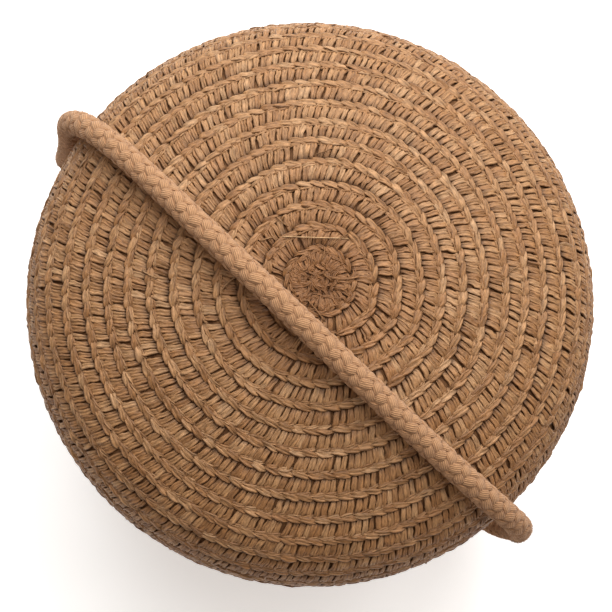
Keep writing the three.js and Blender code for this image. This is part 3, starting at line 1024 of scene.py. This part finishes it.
def pocket_pieces(cotton, tape, thread):
    """The patch pocket: a panel that bellies out a little, its folded hem and its stitching."""
    start, end = -np.pi / 2 - POCKET_ANGLE, -np.pi / 2 + POCKET_ANGLE
    angle, height = np.meshgrid(
        np.linspace(start, end, 90), np.linspace(PANEL_LOW[2], PANEL_HIGH[2], 56), indexing="ij")
    u = (angle - start) / (end - start)
    v = (height - PANEL_LOW[2]) / (PANEL_HIGH[2] - PANEL_LOW[2])
    loose = np.sin(np.pi * u) ** 0.8 * (1 - v) ** 0.7 * np.clip(1.05 - v, 0, 1)
    ripple = 0.5 * MM * np.sin(9 * u + 2 * v) * np.sin(np.pi * u) * (1 - v)
    ripple = ripple + 0.25 * MM * np.sin(31 * u - 6 * v) * (1 - v)
    belly = 3.2 * MM * loose + ripple * np.clip(4 * u, 0, 1) * np.clip(4 - 4 * u, 0, 1)
    middle, out = round_place(angle, POCKET_RADIUS - np.maximum(belly, -0.1 * MM), height)
    flat = np.stack([(angle - start) * POCKET_RADIUS, height], axis=-1)
    panel = cloth("pocket_cloth", middle, -out, 0.6 * MM, flat, cotton)

    top, low = HEM_TAPE_HIGH[2], HEM_TAPE_LOW[2]
    height = np.concatenate([np.linspace(top, low + 0.5 * MM, 8), np.linspace(low + 0.5 * MM, top, 8)])
    depth = np.concatenate([[0.0] * 7, [0.15], [0.55], [0.7] * 7]) * MM
    angle = np.linspace(start, end, 90)[:, None] + 0 * height[None]
    u = (angle - start) / (end - start)
    reach = POCKET_RADIUS + 0.15 * MM - mouth_belly(u) - depth[None]
    middle, out = round_place(angle, reach, height[None] + 0 * angle)
    length = summed(np.hypot(np.diff(depth), np.diff(height)))
    flat = np.stack([(angle - start) * POCKET_RADIUS, length[None] + 0 * angle], axis=-1)
    hem = cloth("pocket_hem_tape", middle, -out, 0.45 * MM, flat, tape)

    inset = 0.028
    lines = [arc(94.35 * MM, start + inset, end - inset, PANEL_HIGH[2] - 2.2 * MM)]
    for place in (start + inset, end - inset):
        levels = np.linspace(HEM_TAPE_HIGH[2] + 1 * MM, PANEL_HIGH[2] - 2.5 * MM, 60)
        lines.append(np.array([arc(94.25 * MM, place, place, z, 1)[0] for z in levels]))
    angle = np.linspace(start + 0.02, end - 0.02, 160)
    u = (angle - start) / (end - start)
    level = 0 * angle + HEM_TAPE_HIGH[2] - 1.6 * MM
    hem_line = round_place(angle, POCKET_RADIUS - 0.78 * MM - mouth_belly(u), level)[0]
    hem_stitches = sewn("pocket_hem_stitches", [hem_line], towards_axis, thread)
    panel_stitches = sewn("pocket_stitches", lines, towards_axis, thread)
    return panel, hem, panel_stitches, hem_stitches


def tab_pieces(side, name, tape, thread):
    """A tab of thick webbing for one half of the snap, with rounded corners, sewn round its edge."""
    half = TAB_HIGH[0]
    low, high = TAB_LOW[2], TAB_HIGH[2]
    back, front = 93.5 * MM, 91.7 * MM
    x, z = np.meshgrid(np.linspace(-1, 1, 33), np.linspace(0, 1, 41), indexing="ij")
    height = low + 0.2 * MM + z * (high - low - 0.4 * MM)
    into_corner = np.clip((height - (high - 5 * MM)) / (5 * MM), 0, 1)
    reach = half - 0.2 * MM - 5 * MM * (1 - np.sqrt(np.maximum(1 - into_corner**2, 0)))
    edge = np.maximum(np.abs(x) ** 10, np.clip(np.abs(2 * z - 1), 0, 1) ** 14)
    pillow = 0.22 * MM * (1 - bump_at(np.abs(x), 0.84, 0.07) - bump_at(np.abs(2 * z - 1), 0.90, 0.05))
    pillow = np.clip(pillow, -0.1 * MM, 0.22 * MM) * (1 - edge)
    faces = []
    for sign in (1, -1):
        y = (back + front) / 2 - sign * ((back - front) / 2 - 0.25 * MM + pillow - 0.5 * MM * edge)
        faces.append(np.stack([x * reach, side * y, height], axis=-1))
    flat = np.stack([x * half, height], axis=-1)
    body = two_sided(f"snap_tab_cloth_{name}", *faces, flat, tape, flip=side > 0)
    inner = side * (front - 0.02 * MM)
    w, top, bottom = half - 2.2 * MM, high - 2.4 * MM, low + 2.2 * MM
    far, near = 4 * MM, 1.2 * MM
    loop = [
        (-w, bottom), (w, bottom), (w, top - far), (w - near, top - near), (w - far, top),
        (-w + far, top), (-w + near, top - near), (-w, top - far), (-w, bottom),
    ]
    line = np.array([(x0, inner, z0) for x0, z0 in loop])
    return body, sewn(f"snap_tab_stitches_{name}", [line], towards_middle, thread)


def rounded(profile, bevel):
    """The same closed outline with its corners rounded off."""
    out = []
    for before, corner, after in zip(np.roll(profile, 1, 0), profile, np.roll(profile, -1, 0)):
        first, second = before - corner, after - corner
        near = min(bevel, 0.45 * np.linalg.norm(first), 0.45 * np.linalg.norm(second))
        a, b = corner + unit(first) * near, corner + unit(second) * near
        for t in np.linspace(0, 1, 4):
            out.append((1 - t) ** 2 * a + 2 * t * (1 - t) * corner + t**2 * b)
    return np.array(out)


def turned(name, profile, side, bevel, material):
    """A fitting turned about an eyelet's axis, from [radius, distance from the bag's axis] points."""
    piece = lathe(name, rounded(np.array(profile) * MM, bevel), material)
    turn = Vector((0, 0, 1)).rotation_difference(Vector((side, 0, 0))).to_matrix().to_4x4()
    piece.data.transform(Matrix.Translation((0, 0, EYELET_Z)) @ turn)
    return piece


# The outlines of the eyelets and washers, in millimetres.
EYELET_OUTLINE = [
    (6.0, 92.2), (6.3, 92.0), (8.6, 92.15), (8.6, 92.75), (6.9, 92.9), (6.9, 100.35), (12, 100.35),
    (12, 100.9), (9.5, 101.6), (7.2, 101.6), (6.0, 100.9),
]
WASHER_OUTLINE = [(7.2, 93.25), (9, 93.2), (12, 93.55), (12, 94.2), (7.2, 94.2)]


def brass_pieces(brass):
    """Eyelets with rolled flanges, and their washers."""
    pieces = []
    for name, side in (("left", -1), ("right", 1)):
        eyelet = turned(f"eyelet_body_{name}", EYELET_OUTLINE, side, 0.5 * MM, brass)
        washer = turned(f"eyelet_washer_body_{name}", WASHER_OUTLINE, side, 0.25 * MM, brass)
        pieces += [(eyelet, f"eyelet_{name}"), (washer, f"eyelet_washer_{name}")]
    return pieces


def make_inside(thread, brass):
    """Everything that is sewn or set into the straw. The snap's halves and plates are the frame's own."""
    lining = cloth_material("lining_cotton", (0.56, 0.46, 0.34), (0.7, 0.6, 0.46), 11.0)
    tape = cloth_material("cotton_tape", (0.46, 0.33, 0.2), (0.62, 0.48, 0.32), 9.0, twill=True)
    wall, base = lining_pieces(lining)
    panel, hem, panel_stitches, hem_stitches = pocket_pieces(lining, tape, thread)
    binding, tape_width = binding_tape(tape)
    binding_line = arc(94.62 * MM, 0, 2 * np.pi, 4.7 * MM, 900)
    seam_line = arc(95.62 * MM, 0, 2 * np.pi, 147.6 * MM, 900)
    binding_stitches = sewn("binding_stitches", [binding_line], towards_axis, thread)
    seam_stitches = sewn("lining_seam_stitches", [seam_line], towards_axis, thread)
    dressed = [
        (wall, "lining_wall", "lining"), (base, "lining_base", "lining"),
        (seam_stitches, "lining_wall", "thread"),
        (panel, "pocket_panel", "lining"), (panel_stitches, "pocket_panel", "thread"),
        (hem, "pocket_hem", "binding"), (hem_stitches, "pocket_hem", "thread"),
        (binding, "mouth_binding", "binding"), (binding_stitches, "mouth_binding", "thread"),
    ]
    for side, name in ((-1, "front"), (1, "back")):
        tab, stitches = tab_pieces(side, name, tape, thread)
        dressed += [(tab, f"snap_tab_{name}", "binding"), (stitches, f"snap_tab_{name}", "thread")]
    dressed += [(piece, node, "fitting") for piece, node in brass_pieces(brass)]
    dress(dressed, "bag")
    for name in ("snap_stud", "snap_socket", "snap_plate_front", "snap_plate_back"):
        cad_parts[name].material_slots[0].material = brass
    across = 2 * (DOME_RADIUS - LINING_DEPTH) * DOME_ANGLE
    across = across + 2 * (SHOULDER_RADIUS - LINING_DEPTH) * (math.pi / 2 - DOME_ANGLE)
    across = across + 2 * (SHOULDER_Z - CAP_FOOT)


# ---- Floor, light and finish

FLOOR_HALF = 8.0


def add_floor():
    material = floor_material()
    corners = FLOOR_HALF * np.array([(-1, -1, 0), (1, -1, 0), (1, 1, 0), (-1, 1, 0)])
    floor = mesh_piece("floor", corners, np.array([[0, 1, 2, 3]]), material, smooth=False)


def add_area(name, towards, distance, size, power, colour=(1, 1, 1)):
    """A square soft light that looks at the bag from a direction."""
    lamp = bpy.data.lights.new(name, "AREA")
    lamp.size = size
    lamp.energy = power
    lamp.color = colour
    light = bpy.data.objects.new(name, lamp)
    bpy.context.collection.objects.link(light)
    aim = Vector((0, 0, 0.6 * BAG_HEIGHT))
    light.location = aim + Vector(towards).normalized() * distance
    light.rotation_euler = (aim - light.location).to_track_quat("-Z", "Y").to_euler()


def add_lights():
    world = bpy.data.worlds.new("studio")
    bpy.context.scene.world = world
    world.use_nodes = True
    sky = world.node_tree.nodes["Background"]
    sky.inputs["Color"].default_value = (1.0, 0.8, 0.62, 1)
    sky.inputs["Strength"].default_value = 0.235
    add_area("key", (-0.469, 0.883, 1.35), distance=0.72, size=1.05, power=12.7)
    add_area("window", (-1.0, 0.3, 0.42), distance=1.1, size=0.6, power=1.8, colour=(0.72, 0.92, 1.0))


bpy.context.scene.view_settings.view_transform = "Standard"
add_camera()
cotton = rope_material()
thread = thread_material()
make_rope(cotton, thread)
make_straw(straw_material(), backing_material())
make_inside(thread, brass_material())
add_floor()
add_lights()
